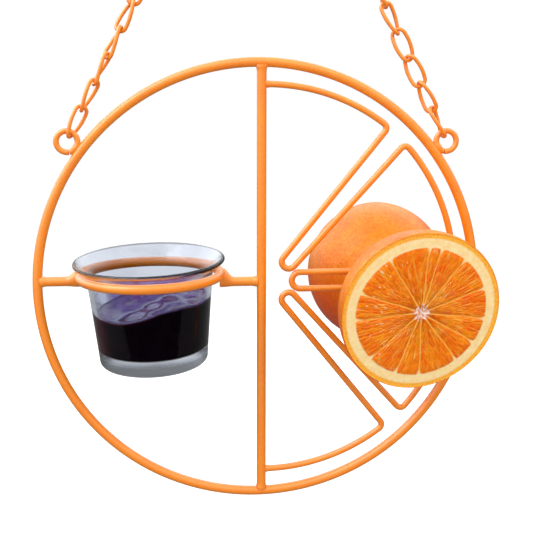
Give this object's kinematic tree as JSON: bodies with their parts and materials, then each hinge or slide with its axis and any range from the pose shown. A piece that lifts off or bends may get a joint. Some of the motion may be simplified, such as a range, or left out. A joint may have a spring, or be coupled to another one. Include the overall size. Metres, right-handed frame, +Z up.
{
  "type": "oriole feeder",
  "caption": "Hanging wire bird feeder: a ring frame with a flared glass jelly cup in a collar, a bent wire citrus slice, and a spike that holds orange halves, on two twisted link chains.",
  "frame": {"origin": "where a hook touches the hanging ring, at the inside of its top", "axes": "+Z up, along the pull of the hook; +X to the right, towards the orange halves, seen from the front; -Y towards the front"},
  "size_m": [0.254, 0.104, 0.4311],
  "materials": {
    "orange_coat": "satin powder coat over steel rod and wire",
    "clear_glass": "clear pressed glass",
    "grape_jelly": "wet dark purple jelly",
    "orange_fruit": "orange rind outside, juicy pulp on the cut face"
  },
  "bodies": {
    "hanging_ring": {"hanging_ring": "orange_coat"},
    "links_01": {"chain_left_link_01": "orange_coat", "chain_right_link_01": "orange_coat"},
    "links_02": {"chain_left_link_02": "orange_coat", "chain_right_link_02": "orange_coat"},
    "links_03": {"chain_left_link_03": "orange_coat", "chain_right_link_03": "orange_coat"},
    "links_04": {"chain_left_link_04": "orange_coat", "chain_right_link_04": "orange_coat"},
    "links_05": {"chain_left_link_05": "orange_coat", "chain_right_link_05": "orange_coat"},
    "links_06": {"chain_left_link_06": "orange_coat", "chain_right_link_06": "orange_coat"},
    "links_07": {"chain_left_link_07": "orange_coat", "chain_right_link_07": "orange_coat"},
    "links_08": {"chain_left_link_08": "orange_coat", "chain_right_link_08": "orange_coat"},
    "links_09": {"chain_left_link_09": "orange_coat", "chain_right_link_09": "orange_coat"},
    "links_10": {"chain_left_link_10": "orange_coat", "chain_right_link_10": "orange_coat"},
    "links_11": {"chain_left_link_11": "orange_coat", "chain_right_link_11": "orange_coat"},
    "links_12": {"chain_left_link_12": "orange_coat", "chain_right_link_12": "orange_coat"},
    "links_13": {"chain_left_link_13": "orange_coat", "chain_right_link_13": "orange_coat"},
    "links_14": {"chain_left_link_14": "orange_coat", "chain_right_link_14": "orange_coat"},
    "feeder_frame": {"citrus_wire": "orange_coat", "cup_collar": "orange_coat", "front_orange_half": "orange_fruit", "fruit_spike": "orange_coat", "glass_cup": "clear_glass", "grape_jelly": "grape_jelly", "inner_bar": "orange_coat", "left_eyelet": "orange_coat", "main_ring": "orange_coat", "outer_bar": "orange_coat", "rear_orange_half": "orange_fruit", "right_eyelet": "orange_coat", "vertical_bar": "orange_coat"}
  },
  "joints": [
    {"name": "links_01_pivot", "type": "hinge", "parent": "hanging_ring", "child": "links_01", "pos_m": [0, 0, -0.02116], "axis": [1, 0, 0], "range_deg": [-10, 10]},
    {"name": "links_02_pivot", "type": "hinge", "parent": "links_01", "child": "links_02", "pos_m": [0, 0, -0.03365], "axis": [1, 0, 0], "range_deg": [-10, 10]},
    {"name": "links_03_pivot", "type": "hinge", "parent": "links_02", "child": "links_03", "pos_m": [0, 0, -0.04767], "axis": [1, 0, 0], "range_deg": [-10, 10]},
    {"name": "links_04_pivot", "type": "hinge", "parent": "links_03", "child": "links_04", "pos_m": [0, 0, -0.06168], "axis": [1, 0, 0], "range_deg": [-10, 10]},
    {"name": "links_05_pivot", "type": "hinge", "parent": "links_04", "child": "links_05", "pos_m": [0, 0, -0.07569], "axis": [1, 0, 0], "range_deg": [-10, 10]},
    {"name": "links_06_pivot", "type": "hinge", "parent": "links_05", "child": "links_06", "pos_m": [0, 0, -0.0897], "axis": [1, 0, 0], "range_deg": [-10, 10]},
    {"name": "links_07_pivot", "type": "hinge", "parent": "links_06", "child": "links_07", "pos_m": [0, 0, -0.10371], "axis": [1, 0, 0], "range_deg": [-10, 10]},
    {"name": "links_08_pivot", "type": "hinge", "parent": "links_07", "child": "links_08", "pos_m": [0, 0, -0.11772], "axis": [1, 0, 0], "range_deg": [-10, 10]},
    {"name": "links_09_pivot", "type": "hinge", "parent": "links_08", "child": "links_09", "pos_m": [0, 0, -0.13174], "axis": [1, 0, 0], "range_deg": [-10, 10]},
    {"name": "links_10_pivot", "type": "hinge", "parent": "links_09", "child": "links_10", "pos_m": [0, 0, -0.14575], "axis": [1, 0, 0], "range_deg": [-10, 10]},
    {"name": "links_11_pivot", "type": "hinge", "parent": "links_10", "child": "links_11", "pos_m": [0, 0, -0.15976], "axis": [1, 0, 0], "range_deg": [-10, 10]},
    {"name": "links_12_pivot", "type": "hinge", "parent": "links_11", "child": "links_12", "pos_m": [0, 0, -0.17377], "axis": [1, 0, 0], "range_deg": [-10, 10]},
    {"name": "links_13_pivot", "type": "hinge", "parent": "links_12", "child": "links_13", "pos_m": [0, 0, -0.18778], "axis": [1, 0, 0], "range_deg": [-10, 10]},
    {"name": "links_14_pivot", "type": "hinge", "parent": "links_13", "child": "links_14", "pos_m": [0, 0, -0.20179], "axis": [1, 0, 0], "range_deg": [-10, 10]},
    {"name": "frame_pivot", "type": "hinge", "parent": "links_14", "child": "feeder_frame", "pos_m": [0, 0, -0.21429], "axis": [1, 0, 0], "range_deg": [-30, 30]}
  ]
}
